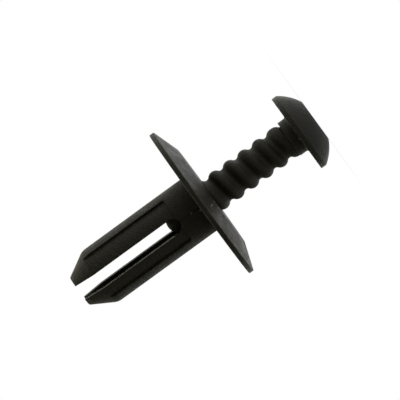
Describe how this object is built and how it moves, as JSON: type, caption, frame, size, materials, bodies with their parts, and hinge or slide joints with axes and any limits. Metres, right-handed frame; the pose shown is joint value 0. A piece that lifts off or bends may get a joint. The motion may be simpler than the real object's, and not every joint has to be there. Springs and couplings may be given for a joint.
{
  "type": "plastic push rivet",
  "caption": "Plastic push rivet: a round flanged sleeve with split legs, and a coarse-threaded drive pin that is pushed down its bore to lock the legs in a panel hole.",
  "frame": {"origin": "on the axis, at the root of the shank, in the plane of the flange face that seats on the panel", "axes": "+Z along the shank from the flange to the leg tips, so the pin's head is at the lowest point; the through slot between the legs runs along Y and the legs stand at +X and -X"},
  "size_m": [0.018, 0.018, 0.0307],
  "materials": {
    "sleeve_plastic": "satin moulded black nylon",
    "pin_plastic": "satin moulded black nylon"
  },
  "bodies": {
    "sleeve": {"sleeve": "sleeve_plastic"},
    "pin": {"drive_pin": "pin_plastic"}
  },
  "joints": [
    {"name": "pin_push", "type": "slide", "parent": "sleeve", "child": "pin", "axis": [0, 0, 1], "range_m": [0, 0.0111]}
  ]
}
